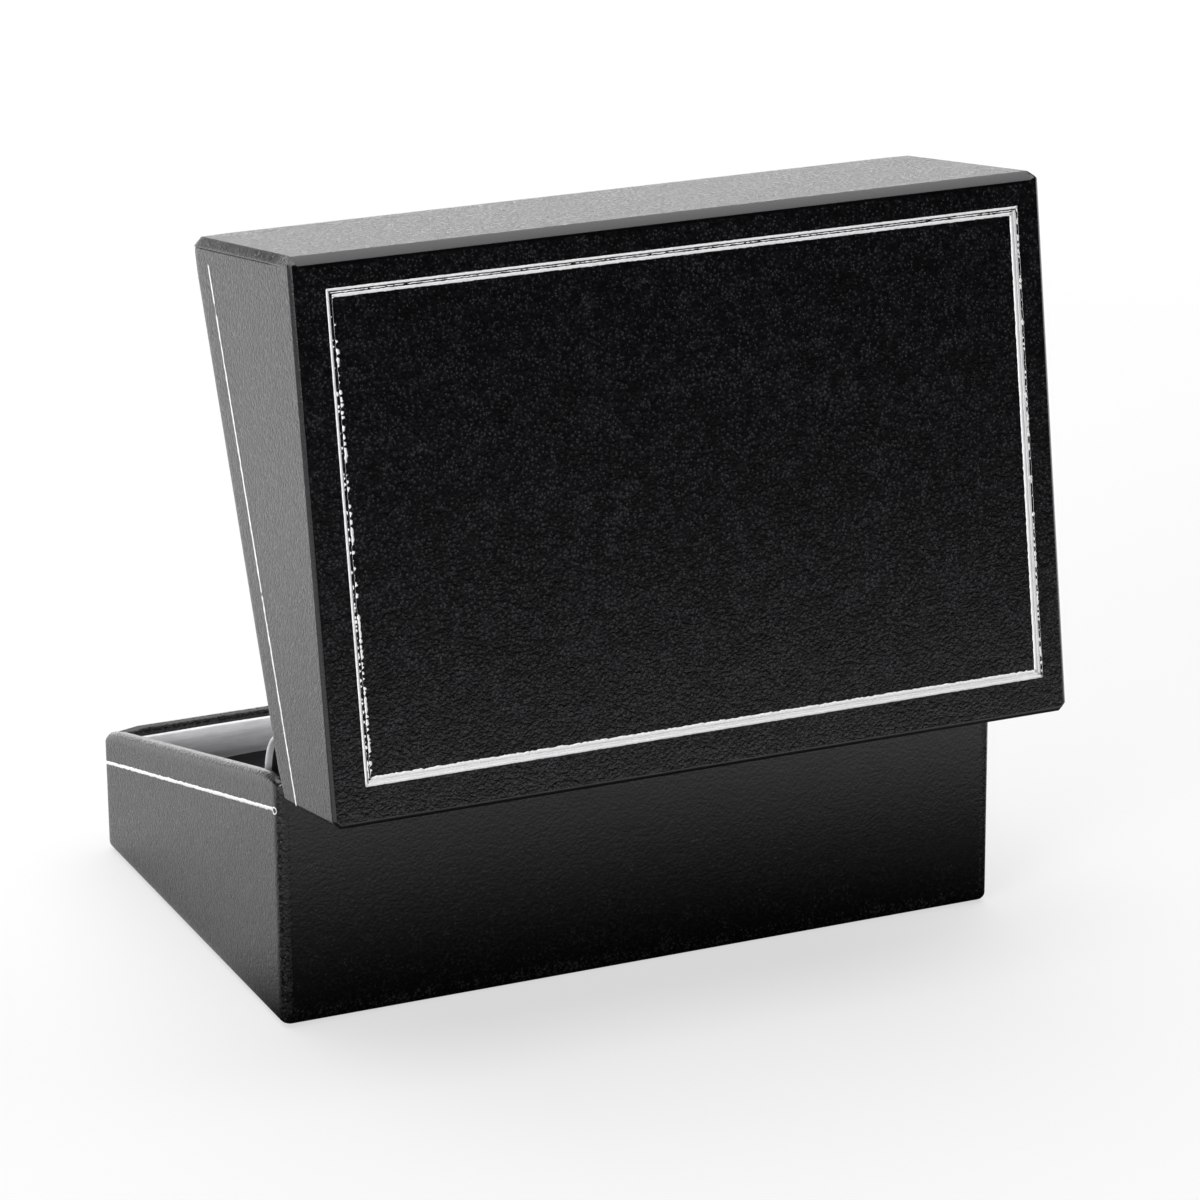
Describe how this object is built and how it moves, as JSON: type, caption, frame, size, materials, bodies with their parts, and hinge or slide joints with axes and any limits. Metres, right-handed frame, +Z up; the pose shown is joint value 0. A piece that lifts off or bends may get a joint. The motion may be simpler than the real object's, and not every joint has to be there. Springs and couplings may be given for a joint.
{
  "type": "cufflink display box",
  "caption": "Wedge-parted leatherette presentation box with a snap-hinged lid standing open, a satin lining and a sloping velvet cushion with slits for cufflinks.",
  "frame": {"origin": "centre of the underside, on the surface that the box stands on", "axes": "+Z up; hinge along X at the rear, +Y; the low front of the base faces -Y; the lid stands open"},
  "size_m": [0.1002, 0.0887, 0.1017],
  "materials": {
    "former_plastic": "matte",
    "leatherette": "satin",
    "underside_paper": "matte",
    "silver_foil": "polished",
    "satin_card": "satin",
    "greyboard": "matte",
    "foam": "matte",
    "velvet": "matte",
    "satin": "satin",
    "hinge_steel": "satin",
    "spring_steel": "satin"
  },
  "bodies": {
    "base": {"base_shell": "former_plastic", "base_covering": "leatherette", "underside_sheet": "underside_paper", "base_foil_line": "silver_foil", "base_lining_front": "satin_card", "base_lining_left": "satin_card", "base_lining_right": "satin_card", "hinge_bay_card": "greyboard", "cushion_foam": "foam", "cushion_velvet": "velvet", "cushion_card": "greyboard", "riser_left": "greyboard", "riser_centre": "greyboard", "riser_right": "greyboard", "base_leaf_left": "hinge_steel", "base_leaf_right": "hinge_steel", "hinge_pin_left": "hinge_steel", "hinge_pin_right": "hinge_steel", "snap_spring_left": "spring_steel", "snap_spring_right": "spring_steel", "base_rivets": "hinge_steel", "hinge_apron": "satin"},
    "lid": {"lid_shell": "former_plastic", "lid_covering": "leatherette", "lid_side_foil_lines": "silver_foil", "panel_foil_outer": "silver_foil", "panel_foil_inner": "silver_foil", "lid_lining_front": "satin_card", "lid_lining_left": "satin_card", "lid_lining_right": "satin_card", "lid_lining_rear": "satin_card", "pad_card": "greyboard", "pad_foam": "foam", "pad_satin": "satin", "lid_leaf_left": "hinge_steel", "lid_leaf_right": "hinge_steel", "lid_rivets": "hinge_steel"}
  },
  "joints": [
    {"name": "lid_hinge", "type": "hinge", "parent": "base", "child": "lid", "pos_m": [0, 0.0335, 0.0315], "axis": [-1, 0, 0], "range_deg": [-81.2, 0], "deforming": ["hinge_apron", "snap_spring_left", "snap_spring_right"]}
  ]
}
